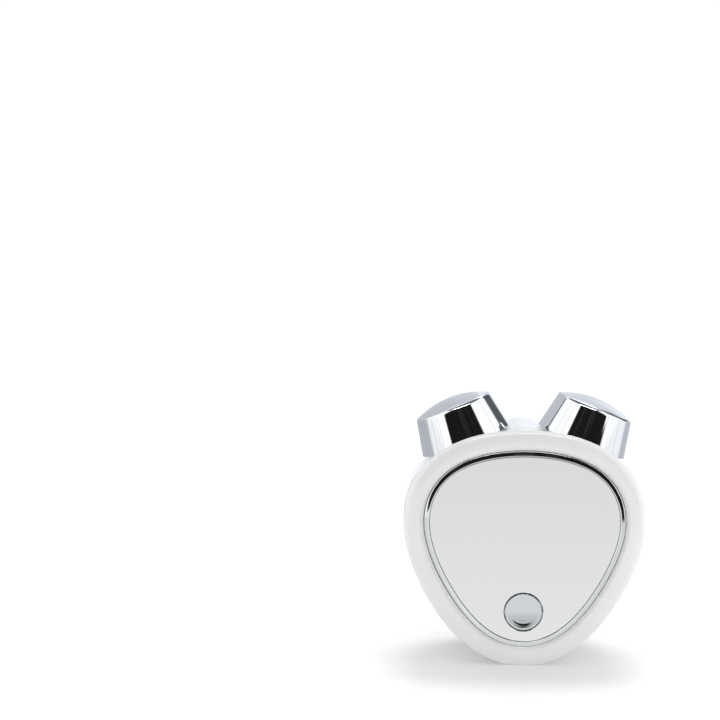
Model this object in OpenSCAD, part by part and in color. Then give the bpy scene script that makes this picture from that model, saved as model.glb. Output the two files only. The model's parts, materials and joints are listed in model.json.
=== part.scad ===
// Handheld facial toning device: a rounded heart-shaped casing that stands on a small
// foot, two chromed rollers on its shoulders, a mirror face plate in a chrome ring and a
// dished power button. Inside are the roller bearings, the board, the cell and the leads.
// Millimetres. +Z is up, the face looks towards -Y, the origin is under the middle.

/* [Casing] */
// Mean diameter of the casing's outline
outline_d = 53.5; // [52:0.1:57]
// Depth of the casing from the face plate to the back
body_d = 33; // [32:0.1:36]
// How far the outline leaves a circle towards its lower point
outline_lobe = 1.68; // [1.2:0.02:2]
// How far the outline is stretched upright
outline_stretch = 0.12; // [0:0.02:0.4]
// How far the corners and mid-sides of the outline swell
outline_swell = 0.1; // [0:0.02:0.2]
// Height cut off the rounded bottom to make the foot
foot_cut = 0.5; // [0.4:0.05:0.9]
// Wall of both shells
wall = 2; // [1.7:0.1:2.3]
// Thickness of the casing under each roller
seat_wall = 3; // [2.6:0.1:3.4]
// Depth behind the face plate of the joint between the shells
split_d = 2.7; // [2.6:0.05:2.8]
// Mean width of the white rim outside the chrome ring
rim_w = 4.6; // [4:0.05:5]
// How far the ring and the face plate sit above the middle of the casing
face_rise = 0.3; // [0:0.05:0.5]
// How far the rim's inner edge lies behind the face plate
rim_set_back = 0.45; // [0.3:0.05:0.7]
// Depth of the small groove along the joint between the shells
joint_groove = 0.25; // [0.15:0.05:0.4]
// Height of the spigot that holds the shells in line
spigot_h = 2.6; // [2:0.1:3]
// Wall of the spigot
spigot_wall = 1.2; // [1:0.1:1.5]

/* [Face] */
// Thickness of the mirror face plate
plate_t = 1; // [0.8:0.05:1.2]
// Thickness of the adhesive film behind the face plate
film_t = 0.2; // [0.1:0.05:0.3]
// Width of the chrome ring
ring_w = 1.5; // [1.3:0.05:1.9]
// How far the ring slopes back from its inner to its outer edge
ring_slope = 0.5; // [0.3:0.05:0.7]
// How deep the ring's foot goes behind the front of the face plate
ring_d = 1.9; // [1.7:0.05:2.1]

/* [Button] */
// Diameter of the button cap
button_d = 8.6; // [8:0.1:9.4]
// Visible gap round the button cap
button_gap = 0.3; // [0.2:0.05:0.4]
// Distance from the button's hole to the lower edge of the face plate
button_margin = 1.93; // [1.5:0.01:2.4]
// Depth of the dish in the cap
dish_depth = 0.55; // [0.4:0.05:0.7]
// Width of the flat lip round the dish
button_lip = 0.45; // [0.35:0.05:0.7]
// How far the button travels
button_travel = 0.3; // [0.2:0.05:0.4]
// Width of the flange that keeps the button in
flange_w = 1; // [0.8:0.1:1.3]
// Thickness of that flange
flange_t = 0.8; // [0.6:0.05:0.9]

/* [Rollers] */
// Diameter of a roller at its base
roller_base_d = 21.1; // [20:0.1:21.4]
// Diameter of a roller at its outer edge
roller_end_d = 17.7; // [16.5:0.1:18.5]
// Height of a roller's cone
roller_len = 8.5; // [8:0.1:10]
// Rise of the domed end
roller_dome = 2; // [1.5:0.1:2.5]
// Radius of the rounded edge round the dome
roller_edge_r = 1; // [0.7:0.1:1.4]
// Wall of a roller
roller_wall = 1.2; // [1:0.1:1.5]
// Diameter of the hub inside a roller
hub_d = 8; // [7.4:0.1:8.2]
// Half the distance between the two rollers, at their bases
roller_offset = 12.95; // [12.8:0.05:13.2]
// How far the roller bases lie below the top of the outline
roller_sink = 4.46; // [4.1:0.01:4.7]
// Depth of the roller bases behind the face plate
roller_set_back = 13.6; // [13.5:0.05:14]
// Outward tilt of each roller
splay = 21.6; // [21:0.1:22.4]
// Backward tilt of each roller
lean = 3.5; // [3:0.1:4]
// Gap between a roller and the casing
roller_gap = 0.5; // [0.4:0.05:0.6]

/* [Bearings] */
// Diameter of the axles
axle_d = 4; // [3.6:0.1:4.2]
// Radial running gap between axle and bush
run_gap = 0.05; // [0.03:0.01:0.08]
// Axial running gap at each end of a bush
end_gap = 0.1; // [0.08:0.01:0.14]
// Wall of the bushes
bush_wall = 1.15; // [1:0.05:1.3]
// Thickness of a bush's flange
bush_flange_t = 0.8; // [0.6:0.05:1]
// Length of a bush below the roller base
bush_len = 7; // [6.6:0.1:7.2]
// How far an axle reaches into its roller
axle_grip = 6.5; // [5.5:0.1:7]
// Outer diameter of the retaining clips
clip_d = 6.8; // [6.4:0.1:7.2]
// Thickness of the retaining clips
clip_t = 0.6; // [0.5:0.05:0.7]
// Outer diameter of a bearing housing
housing_d = 10; // [9.6:0.1:10.2]
// Thickness of a bearing housing's ears
ear_t = 1.6; // [1.4:0.1:1.8]
// Distance of the housing screws from the axle
ear_reach = 7.5; // [7.4:0.05:7.6]
// Thickness of the contact springs
contact_t = 0.25; // [0.2:0.05:0.3]
// Width of the contact springs
contact_w = 2.4; // [2:0.1:2.6]

/* [Board and cell] */
// Thickness of the circuit board
board_t = 1.2; // [1:0.1:1.6]
// Depth of the circuit board behind the face plate
board_set_back = 9; // [8.8:0.1:9.4]
// Width of the circuit board
board_w = 37.2; // [36:0.1:37.6]
// Height of the circuit board's top edge above the foot
board_top = 38; // [37.8:0.1:38.4]
// Height of the tact switch's body
switch_h = 3.4; // [3.2:0.1:3.6]
// Side of the tact switch's body
switch_w = 6; // [5.8:0.1:6.2]
// Diameter of the switch plunger
plunger_d = 3.4; // [3:0.1:3.6]
// Length of the cell
cell_w = 25; // [23:0.1:25.4]
// Height of the cell
cell_h = 20; // [19:0.1:20.2]
// Thickness of the cell
cell_t = 6; // [5:0.1:6.2]
// Depth of the cell behind the face plate
cell_set_back = 17.5; // [17.3:0.1:18.2]
// Height of the cell's lower edge above the foot
cell_z = 18.5; // [18.3:0.1:18.8]
// Thickness of the foam pad behind the cell
pad_t = 1; // [0.8:0.1:1.4]
// Diameter of the insulated leads
lead_d = 0.9; // [0.7:0.05:1]

/* [Charging inlet] */
// Width of the inlet's metal shell
inlet_w = 7.5; // [7.3:0.1:7.7]
// Thickness of the inlet's metal shell
inlet_t = 2.5; // [2.4:0.05:2.7]
// Length of the inlet's metal shell
inlet_len = 5.2; // [5:0.1:5.6]
// Sheet thickness of the inlet's shell
inlet_sheet = 0.3; // [0.25:0.05:0.35]
// How far the inlet's mouth lies above the foot
inlet_set_back = 1; // [0.8:0.1:1.1]
// Room between the inlet and the opening in the casing
inlet_gap = 0.35; // [0.25:0.05:0.45]

/* [Screws] */
// Shank diameter of the four casing screws
case_screw_d = 2; // [1.8:0.1:2.2]
// Length of the casing screws
case_screw_len = 9; // [8:0.5:12]
// Shank diameter of the small screws inside
small_screw_d = 1.6; // [1.4:0.1:1.7]
// Head diameter of the small screws
small_head_d = 3; // [2.8:0.1:3.2]
// Head height of the small screws
small_head_h = 1; // [0.9:0.1:1.2]
// Diameter of the posts that take the casing screws
case_post_d = 4.2; // [4:0.1:4.3]
// Diameter of the posts under the board
board_post_d = 3.4; // [3.2:0.1:3.5]

/* [Hidden] */

// Clearances and small fixed sizes
fit_gap = 0.05;      // between trim pieces that drop into each other
plate_gap = 0.12;    // between the face plate and the ring
shell_gap = 0.15;    // between the spigot and the rear shell
post_gap = 0.3;      // round posts and rollers that pass a wall
thread_gap = 0.02;   // between a screw and the hole it cuts
touch_gap = 0.02;    // between parts that press on each other and move
recess_d = 0.5;      // depth of the cross recess in a screw's head
small_recess_l = 1.8;
small_recess_w = 0.4;
case_recess_l = 2.2;
case_recess_w = 0.5;
board_screw_in = 5;  // how far a board screw goes into its post

// The outline, with angles measured from the top towards +X
steps = 80;
mid_r = outline_d / 2;
function outline(a) = mid_r + outline_stretch * cos(2 * a) - outline_lobe * cos(3 * a)
    + outline_swell * cos(6 * a);
mid_z = outline(180) - foot_cut;
roller_rise = outline(0) - roller_sink;  // height of the roller bases above the middle
face_y = -body_d / 2;
deck_d = plate_t + film_t;       // the plate's seat
belly_d = 7;                     // depth at which the casing starts to close
belly_rise = 0.8;                // depth over which the joint groove runs out
ring_out = rim_w + fit_gap;      // insets from the casing's outline
ring_in = rim_w + ring_w;
plate_in = ring_in + plate_gap;

function turn(i) = i * 360 / steps;
function signed(a) = a > 180 ? a - 360 : a;
function at(a, r, d) = [r * sin(a), face_y + d, mid_z + r * cos(a)];
function inset(a, w) = outline(a) - w + face_rise * min(1, w / rim_w) * cos(a);

// The rear casing closes as a superellipse, fuller at the top where the rollers sit
back_power = 3.5;
top_power = 3;
top_power_span = 30;
top_swell = 1.8;
top_swell_span = 18;
roof_blend = 30;
ridge_round = 3;
roof_reach = 75;
function bell(a, span) = exp(-pow(signed(a) / span, 2));
function power_at(a) = back_power + top_power * bell(a, top_power_span);
function closing(a, t) = pow(max(0, 1 - pow(t, power_at(a))), 1 / power_at(a));
function soft_min(p, q) = pow(pow(p, -roof_blend) + pow(q, -roof_blend), -1 / roof_blend);

// The seats are planes square to the rollers' axles, roller_gap below their bases
function seat_reach(d, drop) =
    ((roller_offset * sin(splay) + roller_rise * cos(splay)) * cos(lean)
    - (d - roller_set_back) * sin(lean) - drop) / cos(lean);
function roof_r(a, d, drop) =
    seat_reach(d, drop)
    / cos(min(roof_reach, sqrt(pow(signed(a), 2) + pow(ridge_round, 2)) - splay));
function groove(d) = joint_groove * pow(max(0, 1 - (d - split_d) / belly_rise), 2);
// Radius of the rear casing at depth d, inside walls at its side, under the seats and behind
function rear_r(a, d, walls = [0, 0, 0]) =
    let (t = min(1, max(0, (d - belly_d) / (body_d - walls[2] - belly_d))))
    soft_min((outline(a) + top_swell * bell(a, top_swell_span)) * closing(a, t) - walls[0],
        roof_r(a, d, roller_gap + walls[1]));

// A closed loft through rings of points at set depths, ending flat or on a point
module loft(rings, tip = undef) {
    n = len(rings);
    points = concat([for (ring = rings) for (p = ring) p], tip == undef ? [] : [tip]);
    sides = [for (k = [0 : n - 2]) for (i = [0 : steps - 1])
        let (a = k * steps + i, b = k * steps + (i + 1) % steps)
        each [[a, b + steps, b], [a, a + steps, b + steps]]];
    front = [[for (i = [0 : steps - 1]) i]];
    last = (n - 1) * steps;
    back = tip == undef ? [[for (i = [steps - 1 : -1 : 0]) last + i]]
        : [for (i = [0 : steps - 1]) [last + (i + 1) % steps, last + i, n * steps]];
    polyhedron(points, concat(sides, front, back));
}

module prism(w, d0, d1) {
    translate([0, face_y + d1, 0]) rotate([90, 0, 0]) linear_extrude(d1 - d0)
        polygon([for (i = [0 : steps - 1])
            let (a = turn(i), r = inset(a, w)) [r * sin(a), mid_z + r * cos(a)]]);
}

module peg(p, d0, d1, r, r_end = undef) {
    translate([p[0], face_y + d0, p[1]]) rotate([-90, 0, 0])
        cylinder(h = d1 - d0, r1 = r, r2 = r_end == undef ? r : r_end, $fn = 48);
}

module block(p, size, d0, d1) {
    translate([p[0] - size[0] / 2, face_y + d0, p[1] - size[1] / 2])
        cube([size[0], d1 - d0, size[1]]);
}

module foot_trim() {
    translate([-outline_d, -body_d, -outline_d])
        cube([2 * outline_d, 2 * body_d, outline_d]);
}

// The casing screws sit under the face plate's edge, the board screws beside the cell
case_screw_r = case_screw_d / 2;
case_head_r = case_screw_r + 0.9;
case_head_h = 0.9;
case_screw_turns = [66, 150];
case_inset = case_head_r + 0.4;
function case_post(a) = let (r = inset(a, plate_in + case_inset))
    [r * sin(a), mid_z + r * cos(a)];
case_posts = [for (a = case_screw_turns) for (s = [-1, 1]) case_post(s * a)];
board_post_rise = [-5.65, 2.35];  // heights of the board posts above the middle
board_post_gap = 0.2;            // between the board posts and the cell
board_posts = [for (s = [-1, 1]) for (rise = board_post_rise)
    [s * (cell_w / 2 + board_post_d / 2 + board_post_gap), mid_z + rise]];
board_back = board_set_back + board_t;
shank_r = case_screw_r - thread_gap;
screw_tip = deck_d + case_screw_len;
button_r = button_d / 2;
hole_r = button_r + button_gap;
button_z = mid_z - inset(180, plate_in) + button_margin + hole_r;
ear_screw_x = [-ear_reach, ear_reach];

// Front casing: one closed section from the deck, over the rim, to the spigot behind it
rim_belly_d = split_d - 0.65;
rim_turns = [0, 15, 30, 44, 56, 67, 77, 90];
groove_steps = [[0.07, 0.35], [0.4, 0.75], [1, 1]]; // shares of groove and depth
spigot_end = split_d + spigot_h;
shell_walls = [wall, seat_wall, wall];
function inset_ring(w, d) = [for (i = [0 : steps - 1]) let (a = turn(i))
    at(a, inset(a, w), d)];
function rim_ring(u) = inset_ring(rim_w * (1 - sin(u)),
    rim_set_back + (rim_belly_d - rim_set_back) * (1 - cos(u)));
function spigot_ring(gap, d) = [for (i = [0 : steps - 1]) let (a = turn(i))
    at(a, rear_r(a, spigot_end, shell_walls) - gap, d)];

module front_shell() {
    color("white") difference() {
        loft(concat([inset_ring(plate_in, deck_d), inset_ring(plate_in, ring_d),
                inset_ring(rim_w, ring_d)],
            [for (u = rim_turns) rim_ring(u)],
            [for (c = groove_steps) inset_ring(joint_groove * c[0],
                rim_belly_d + (split_d - rim_belly_d) * c[1])],
            [spigot_ring(shell_gap, split_d), spigot_ring(shell_gap, spigot_end),
                spigot_ring(shell_gap + spigot_wall, spigot_end),
                spigot_ring(shell_gap + spigot_wall, split_d)]));
        peg([0, button_z], deck_d - 1, split_d + 1, hole_r);
        for (p = case_posts) {
            peg(p, deck_d - 1, split_d + 1, case_screw_r + fit_gap);
            peg(p, deck_d - fit_gap, deck_d + case_head_h, case_head_r + 2 * fit_gap,
                case_screw_r + fit_gap);
        }
        foot_trim();
    }
}

// Rear casing: outer loft, less a cavity that leaves the posts and ribs standing
groove_depths = [0, 0.45, 1];  // shares of the depth over which the groove runs out
outer_shares = [0, 0.15, 0.3, 0.42, 0.53, 0.62, 0.7, 0.77, 0.83, 0.88, 0.92, 0.95, 0.975,
    0.99, 0.998];
inner_shares = [0, 0.25, 0.45, 0.6, 0.72, 0.82, 0.9, 0.95, 0.985];
function rear_ring(d, walls = [0, 0, 0]) = [for (i = [0 : steps - 1]) let (a = turn(i))
    at(a, rear_r(a, d, walls), d)];
function grooved_ring(d) = [for (i = [0 : steps - 1]) let (a = turn(i))
    at(a, rear_r(a, d) - groove(d), d)];

module rear_outer() {
    reach = body_d - belly_d;
    loft(concat([for (g = groove_depths) grooved_ring(split_d + g * belly_rise)],
        [for (t = outer_shares) rear_ring(belly_d + t * reach)]),
        [0, face_y + body_d, mid_z]);
}

module rear_cavity() {
    reach = body_d - wall - belly_d;
    loft(concat([rear_ring(split_d - 0.2, shell_walls)],
        [for (t = inner_shares) rear_ring(belly_d + t * reach, shell_walls)]),
        [0, face_y + body_d - wall, mid_z]);
}

cell_back = cell_set_back + cell_t;
pad_back = cell_back + pad_t;
rib_t = 1.6;
rib_w = cell_w - 4;
cell_mid = [0, cell_z + cell_h / 2];

module rear_shell() {
    color("white") difference() {
        rear_outer();
        difference() {
            rear_cavity();
            for (p = case_posts) peg(p, split_d, body_d, case_post_d / 2);
            for (p = board_posts) peg(p, board_back, body_d, board_post_d / 2);
            for (s = [-1, 1])
                block(cell_mid + [0, s * cell_h * 0.32], [rib_w, rib_t], pad_back, body_d);
        }
        for (p = case_posts) peg(p, split_d - 1, screw_tip + 1, shank_r + 2 * thread_gap);
        for (p = board_posts)
            peg(p, board_back - 1, board_back + board_screw_in + 1,
                small_screw_d / 2 + thread_gap);
        for (side = [-1, 1]) on_axle(side) {
            drill(seat_wall + 2, bush_flange_r + post_gap - 0.1);
            for (x = ear_screw_x)
                translate([x, 0, -roller_gap - seat_wall - 1])
                    cylinder(h = 1 + ear_screw_in, r = small_screw_d / 2 + thread_gap, $fn = 32);
        }
        plug_opening(wall + 4);
        foot_trim();
    }
}

// The opening for the charging plug through the foot, with rounded corners
module plug_opening(depth) {
    corner_r = inlet_gap + 0.25;
    half = [inlet_w / 2 + inlet_gap, inlet_t / 2 + inlet_gap];
    translate([0, face_y + board_back + inlet_t / 2, -1]) {
        for (x = [-1, 1]) for (y = [-1, 1])
            translate([x * (half[0] - corner_r), y * (half[1] - corner_r), 0])
                cylinder(h = depth, r = corner_r, $fn = 32);
        translate([-half[0], -half[1] + corner_r, 0])
            cube([2 * half[0], 2 * (half[1] - corner_r), depth]);
        translate([-half[0] + corner_r, -half[1], 0])
            cube([2 * (half[0] - corner_r), 2 * half[1], depth]);
    }
}

// Everything on an axle is drawn with the axle along +Z and the roller's base at 0
module on_axle(side) {
    translate([side * roller_offset, face_y + roller_set_back, mid_z + roller_rise])
        rotate([-lean, side * splay, 0]) children();
}

module drill(depth, r) {
    translate([0, 0, -roller_gap - depth]) cylinder(h = depth + 2, r = r, $fn = 64);
}

// Chrome ring: sloped front with small rounded edges
module bezel_ring() {
    edge_r = 0.12;
    section = [[ring_in, ring_d - fit_gap], [ring_in, 0.3], [ring_in - 0.04, edge_r],
        [ring_in - 0.14, 0.02], [ring_in - 0.3, 0], [ring_in - 0.5, 0.05],
        [ring_out + 0.25, ring_slope - 0.12], [ring_out + 0.08, ring_slope],
        [ring_out, ring_slope + 0.15], [ring_out, ring_d - fit_gap]];
    n = len(section);
    points = [for (s = section) for (i = [0 : steps - 1]) let (a = turn(i))
        at(a, inset(a, s[0]), s[1])];
    color("silver") polyhedron(points, [for (k = [0 : n - 1]) for (i = [0 : steps - 1])
        let (a = k * steps + i, b = k * steps + (i + 1) % steps, up = (k + 1) % n * steps,
            c = up + (i + 1) % steps, d = up + i)
        each [[a, c, b], [a, d, c]]]);
}

module face_plate() {
    color("gainsboro") difference() {
        prism(plate_in, 0, plate_t);
        peg([0, button_z], -1, plate_t + 1, hole_r);
    }
}

module adhesive_film() {
    color("ivory") difference() {
        prism(plate_in + 0.5, plate_t, deck_d);
        peg([0, button_z], 0, deck_d + 1, hole_r + 0.4);
    }
}

// Dished cap with a flange behind the deck and a stub that meets the switch
plunger_top = board_set_back - switch_h - 1;
flange_d = split_d + fit_gap;
module power_button() {
    dish_r = button_r - button_lip;
    ball_r = (pow(dish_r, 2) + pow(dish_depth, 2)) / (2 * dish_depth);
    swing = asin(dish_r / ball_r);
    dish = [for (k = [0 : 8]) let (q = swing * k / 8)
        [ball_r * sin(q), dish_depth - ball_r * (1 - cos(q))]];
    edge = [[button_r - 0.12, 0], [button_r - 0.03, 0.04], [button_r, 0.14]];
    body = [[button_r, flange_d], [button_r + flange_w, flange_d],
        [button_r + flange_w, flange_d + flange_t], [1.6, flange_d + flange_t],
        [1.6, plunger_top - touch_gap], [0, plunger_top - touch_gap]];
    color("silver") translate([0, face_y, button_z]) rotate([-90, 0, 0])
        rotate_extrude($fn = 96) polygon(concat(dish, edge, body));
}

module switch_plunger() {
    color("dimgray") peg([0, button_z], plunger_top, board_set_back - switch_h + 0.9,
        plunger_d / 2);
}

module switch_body() {
    top = board_set_back - switch_h;
    leg = [0.7, 0.9];
    color("silver") difference() {
        union() {
            block([0, button_z], [switch_w, switch_w], top, board_set_back);
            for (x = [-1, 1]) for (z = [-1, 1])
                block([x * (switch_w / 2 + 0.5), button_z + z * 2.2], [1.4, leg[0]],
                    board_set_back - 0.3, board_set_back);
        }
        peg([0, button_z], top - 1, top + 0.9 + button_travel + 0.2,
            plunger_d / 2 + fit_gap);
    }
}

// Board: drawn in beside the casing's upper posts, and again down to the inlet
shoulder_gap = [0.4, 0.6];
board_shoulder = case_post(case_screw_turns[0]) - case_post_d / 2 * [1, 1] - shoulder_gap;
board_waist_z = 20;
board_neck_w = 12.8;
board_neck_z = 14.8;
board_foot_z = 8.5;
board_toe_w = 9.8;
board_toe_z = 2.3;
module circuit_board() {
    half = [[board_shoulder[0], board_top], board_shoulder, [board_w / 2, board_shoulder[1]],
        [board_w / 2, board_waist_z], [board_neck_w / 2, board_neck_z],
        [board_neck_w / 2, board_foot_z], [board_toe_w / 2, board_toe_z]];
    back = [for (i = [len(half) - 1 : -1 : 0]) [-half[i][0], half[i][1]]];
    color("darkgreen") difference() {
        translate([0, face_y + board_back, 0]) rotate([90, 0, 0])
            linear_extrude(board_t) polygon(concat(half, back));
        for (p = board_posts)
            peg(p, board_set_back - 1, board_back + 1, small_screw_d / 2 + fit_gap);
    }
}

// A cross recess that is cut into a screw's head, upwards from 0
module recess(length, width) {
    for (a = [0, 90]) rotate(a) translate([-length / 2, -width / 2, -0.1])
        cube([length, width, recess_d + 0.1]);
}

module small_screw(shank) { // head downwards at 0, shank along +Z
    translate([0, 0, -small_head_h]) difference() {
        cylinder(h = small_head_h, r = small_head_d / 2, $fn = 32);
        recess(small_recess_l, small_recess_w);
    }
    cylinder(h = shank, r = small_screw_d / 2, $fn = 32);
}

module board_screws() {
    color("lightgray") for (p = board_posts)
        translate([p[0], face_y + board_set_back, p[1]]) rotate([-90, 0, 0])
            small_screw(board_t + board_screw_in);
}

module case_screws() {
    color("lightgray") for (p = case_posts)
        translate([p[0], face_y + deck_d, p[1]]) rotate([-90, 0, 0]) difference() {
            union() {
                cylinder(h = case_head_h, r1 = case_head_r, r2 = case_screw_r, $fn = 32);
                cylinder(h = case_screw_len, r = shank_r, $fn = 32);
            }
            recess(case_recess_l, case_recess_w);
        }
}

// Charging inlet: a folded metal shell on the board's back, with a plastic tongue
inlet_top = inlet_set_back + inlet_len;
module charging_inlet() {
    mid = [0, inlet_set_back + inlet_len / 2];
    color("lightgray") union() {
        difference() {
            block(mid, [inlet_w, inlet_len], board_back, board_back + inlet_t);
            block(mid - [0, inlet_sheet], [inlet_w - 2 * inlet_sheet, inlet_len],
                board_back + inlet_sheet, board_back + inlet_t - inlet_sheet);
        }
        for (s = [-1, 1]) block([s * (inlet_w / 2 + 0.4), inlet_top - 1.2], [0.9, 1.4],
            board_back, board_back + inlet_sheet);
    }
}

module inlet_tongue() {
    base_h = 1.2;
    inside = inlet_w - 2 * inlet_sheet - 2 * fit_gap;
    top = inlet_top - inlet_sheet;
    color("dimgray") union() {
        block([0, top - base_h / 2], [inside, base_h], board_back + inlet_sheet + fit_gap,
            board_back + inlet_t - inlet_sheet - fit_gap);
        block([0, top - 1.9], [inside - 3, 3.8], board_back + 0.8, board_back + 1.35);
    }
}

// Parts on the back of the board, each placed across from its middle and up from mid_z
function on_board(x, rise) = [x, mid_z + rise];
pin_w = 0.4;
pin_reach = 0.94;
pin_t = 0.3;
pin_out = 0.45;     // from the chip's side to the middle of a pin
pin_pitch = 1.27;
chip_lift = 0.1;
module chip(p, w, l, h, pins) {
    color("dimgray") block(p, [w, l], board_back + chip_lift, board_back + h);
    color("silver") for (s = [-1, 1]) for (k = [0 : pins - 1])
        block(p + [(k - (pins - 1) / 2) * pin_pitch, s * (l / 2 + pin_out)],
            [pin_w, pin_reach], board_back, board_back + pin_t);
}

controller_w = 8.6;
controller_l = 3.9;
controller_h = 1.6;
controller_x = 8.5;
controller_rise = -1.65;
module controller_chip() {
    chip(on_board(controller_x, controller_rise), controller_w, controller_l, controller_h, 7);
}

charger_w = 4.9;
charger_l = 3.9;
charger_h = 1.5;
charger_x = -7.5;
charger_rise = -6.65;
module charger_chip() {
    chip(on_board(charger_x, charger_rise), charger_w, charger_l, charger_h, 4);
}

// Inductor: a base, a waist that carries the winding, and two flanges round the waist
inductor_w = 6;
inductor_h = 4;
inductor_base_h = 0.8;
inductor_flange_d = 5.4;
inductor_waist_d = 4;
inductor_flange_h = [0.4, 0.8];
inductor_x = -8.2;
inductor_rise = 0.85;
module boost_inductor() {
    p = on_board(inductor_x, inductor_rise);
    waist = inductor_base_h + inductor_flange_h[0];
    upper = inductor_h - inductor_flange_h[1];
    color("dimgray") union() {
        block(p, [inductor_w, inductor_w], board_back, board_back + inductor_base_h);
        peg(p, board_back + inductor_base_h, board_back + waist, inductor_flange_d / 2);
        peg(p, board_back + waist, board_back + upper, inductor_waist_d / 2);
        peg(p, board_back + upper, board_back + inductor_h, inductor_flange_d / 2);
    }
}

capacitor_w = 4.2;
capacitor_base_h = 0.7;
capacitor_d = 4;
capacitor_h = 5.2;
capacitor_x = [10.4, 1.5];
capacitor_rise = [6.85, -9.15];
module capacitors() {
    color("silver") for (k = [0, 1]) {
        p = on_board(capacitor_x[k], capacitor_rise[k]);
        block(p, [capacitor_w, capacitor_w], board_back, board_back + capacitor_base_h);
        peg(p, board_back + capacitor_base_h, board_back + capacitor_h, capacitor_d / 2);
    }
}

lead_r = lead_d / 2;
lead_pitch = 1.8;
connector_w = 6;
connector_h = 4.2;
connector_d = 4.4;
connector_rise = 5.25;
connector_mid = on_board(0, connector_rise);
lead_in = 1.6;      // how far the cell's leads go into the connector
lead_row = 2.2;     // from the board to the middle of the leads in the connector
module cell_connector() {
    color("ivory") difference() {
        block(connector_mid, [connector_w, connector_h], board_back, board_back + connector_d);
        for (s = [-1, 1]) translate([s * lead_pitch / 2, face_y + board_back + lead_row,
            connector_mid[1] + connector_h / 2 - lead_in])
                cylinder(h = lead_in + 0.4, r = lead_r + 2 * fit_gap, $fn = 24);
    }
}

module battery_cell() {
    tab_h = 1.2;
    color("silver") union() {
        block(cell_mid, [cell_w, cell_h - tab_h], cell_set_back, cell_back);
        block(cell_mid, [cell_w - 2, cell_h], cell_set_back + 1, cell_back - 1.5);
    }
}

module cell_pad() {
    color("dimgray") block(cell_mid, [rib_w, cell_h - 2.4], cell_back, pad_back);
}

// A lead is one tube through its points, with its rings carried along without twist
lead_sides = 8;
function unit(v) = v / norm(v);
function way(p, i) = unit(p[min(i + 1, len(p) - 1)] - p[max(i - 1, 0)]);
function carry(p, i) = i == 0
    ? unit(cross(way(p, 0), [0.1, 1, 0.2]))
    : let (n = carry(p, i - 1), t = way(p, i)) unit(n - t * (n * t));
function mix(a, b, f) = a + (b - a) * f;
function curve(p, k) = // points on a smooth line through p, k of them to each span
    [for (i = [0 : len(p) - 2]) for (j = [0 : k - 1])
        let (f = j / k, a = p[max(i - 1, 0)], b = p[i], c = p[i + 1],
            e = p[min(i + 2, len(p) - 1)])
        0.5 * (2 * b + (c - a) * f + (2 * a - 5 * b + 4 * c - e) * f * f
        + (3 * b - a - 3 * c + e) * f * f * f)];
module tube(route) {
    p = concat(curve(route, 3), [route[len(route) - 1]]);
    n = len(p);
    points = [for (i = [0 : n - 1]) let (t = way(p, i), u = carry(p, i), v = cross(t, u))
        for (k = [0 : lead_sides - 1]) let (q = k * 360 / lead_sides)
        p[i] + lead_r * (u * cos(q) + v * sin(q))];
    sides = [for (i = [0 : n - 2]) for (k = [0 : lead_sides - 1])
        let (a = i * lead_sides + k, b = i * lead_sides + (k + 1) % lead_sides)
        each [[a, a + lead_sides, b + lead_sides], [a, b + lead_sides, b]]];
    polyhedron(points, concat(sides, [[for (k = [0 : lead_sides - 1]) k]],
        [[for (k = [lead_sides - 1 : -1 : 0]) (n - 1) * lead_sides + k]]));
}

// Leads from the cell's top, over in an arch, and down into the connector: depth and height
cell_top = cell_z + cell_h;
socket_top = connector_mid[1] + connector_h / 2;
socket_d = board_back + lead_row;
cell_lead_route = [[cell_back - 2.5, cell_top + 0.08], [cell_back - 2.5, cell_top + 1],
    [cell_back - 3.9, cell_top + 2.3], [cell_back - 6.5, cell_top + 3.1],
    [socket_d + 1.8, cell_top + 2.1], [socket_d, socket_top + 2.9],
    [socket_d, socket_top + 0.5], [socket_d, socket_top - lead_in + 0.1]];
module cell_lead(x) {
    tube([for (q = cell_lead_route) [x, face_y + q[0], q[1]]]);
}

module cell_lead_positive() {
    color("red") cell_lead(-lead_pitch / 2);
}

module cell_lead_negative() {
    color("black") cell_lead(lead_pitch / 2);
}

// Rollers: thin cup with a hub; the side meets the dome in a rounded edge
roller_base_r = roller_base_d / 2;
roller_end_r = roller_end_d / 2;
dome_r = (pow(roller_end_r, 2) + pow(roller_dome, 2)) / (2 * roller_dome);
dome_mid = roller_len + roller_dome - dome_r;
side_way = unit([roller_end_r - roller_base_r, roller_len]);
side_in = [-side_way[1], side_way[0]];
edge_from = [roller_base_r, -dome_mid] + roller_edge_r * side_in;
edge_b = edge_from * side_way;
edge_run = -edge_b + sqrt(pow(edge_b, 2) - edge_from * edge_from
    + pow(dome_r - roller_edge_r, 2));
edge_mid = [roller_base_r, 0] + roller_edge_r * side_in + edge_run * side_way;
edge_turn0 = atan2(-side_in[1], -side_in[0]);
edge_turn1 = atan2(edge_mid[1] - dome_mid, edge_mid[0]);
base_edge = 0.35;
function edge_point(q) = edge_mid + roller_edge_r * [cos(q), sin(q)];
function dome_point(q) = [dome_r * cos(q), dome_mid + dome_r * sin(q)];
roller_profile = concat([[roller_base_r - base_edge, 0], [roller_base_r - 0.1, 0.08],
        [roller_base_r, 0] + 0.35 * side_way],
    [for (k = [0 : 6]) edge_point(mix(edge_turn0, edge_turn1, k / 6))],
    [for (k = [1 : 9]) dome_point(mix(edge_turn1, 90, k / 9))]);

module roller(side) {
    cup_end = roller_len - 0.6;
    inner_end_r = roller_end_r - roller_wall;
    inner_base_r = roller_base_r - roller_wall;
    hollow = [[axle_r, axle_grip], [axle_r, 0], [hub_d / 2, 0], [hub_d / 2, cup_end],
        [inner_end_r - 0.6, cup_end], [inner_end_r, cup_end - 0.8], [inner_base_r, 0]];
    color("silver") on_axle(side) rotate_extrude($fn = 96)
        polygon(concat([[0, axle_grip]], hollow, roller_profile));
}

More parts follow.
